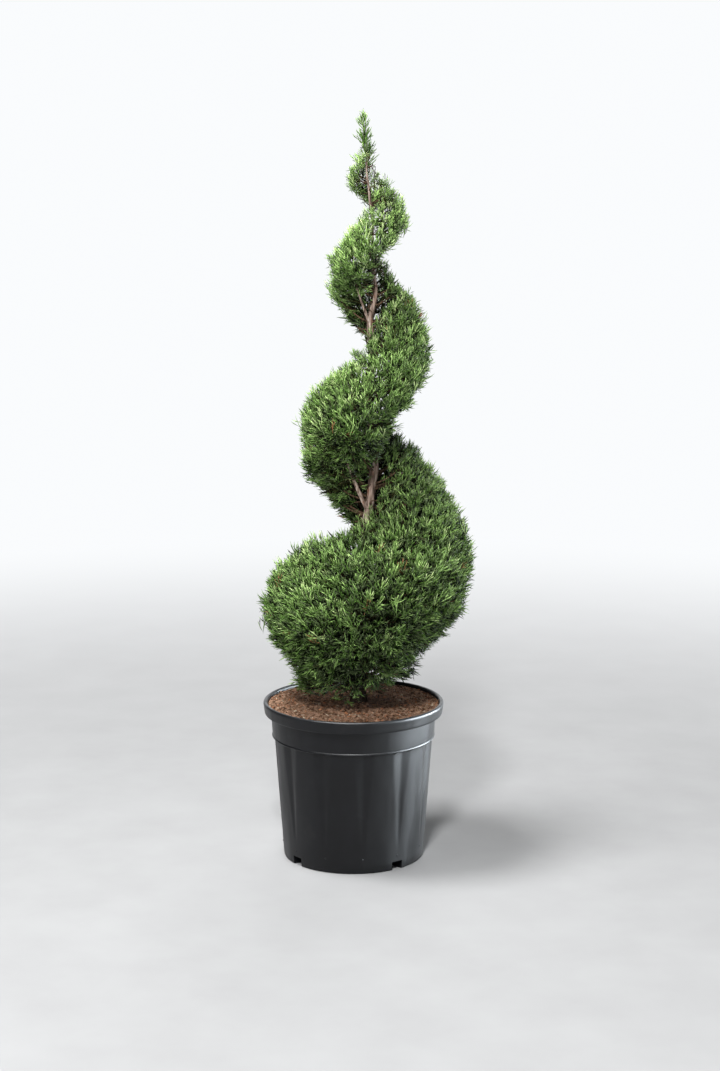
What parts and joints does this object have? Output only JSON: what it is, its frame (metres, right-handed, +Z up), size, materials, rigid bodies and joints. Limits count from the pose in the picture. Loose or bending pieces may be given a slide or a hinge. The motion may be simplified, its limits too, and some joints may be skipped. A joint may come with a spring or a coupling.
{
  "type": "spiral topiary shrub in a nursery pot",
  "caption": "Evergreen shrub clipped into a right-handed spiral round its own stem, standing in a fluted black nursery pot",
  "frame": {"origin": "centre of the pot's flat underside", "axes": "+Z up along the pot's axis, -Y to the front, +X to the right"},
  "size_m": [0.4271, 0.3975, 1.466],
  "materials": {
    "pot": "satin black moulded plastic",
    "soil": "dark brown bark and peat potting mix",
    "bark": "thin stringy grey-brown bark",
    "foliage": "clipped evergreen sprays of fine scale leaves"
  },
  "bodies": {
    "root": {"pot": "pot", "soil": "soil", "trunk": "bark", "bough_lower": "bark", "bough_upper": "bark", "turn1_right": "foliage", "turn1_back": "foliage", "turn1_left": "foliage", "turn1_front": "foliage", "turn2_right": "foliage", "turn2_back": "foliage", "turn2_left": "foliage", "turn2_front": "foliage", "turn3_right": "foliage", "turn3_back": "foliage", "turn3_left": "foliage", "turn3_front": "foliage", "turn4_right": "foliage", "turn4_back": "foliage", "turn4_left": "foliage", "turn4_front": "foliage", "leader_shoot": "foliage"}
  },
  "joints": []
}
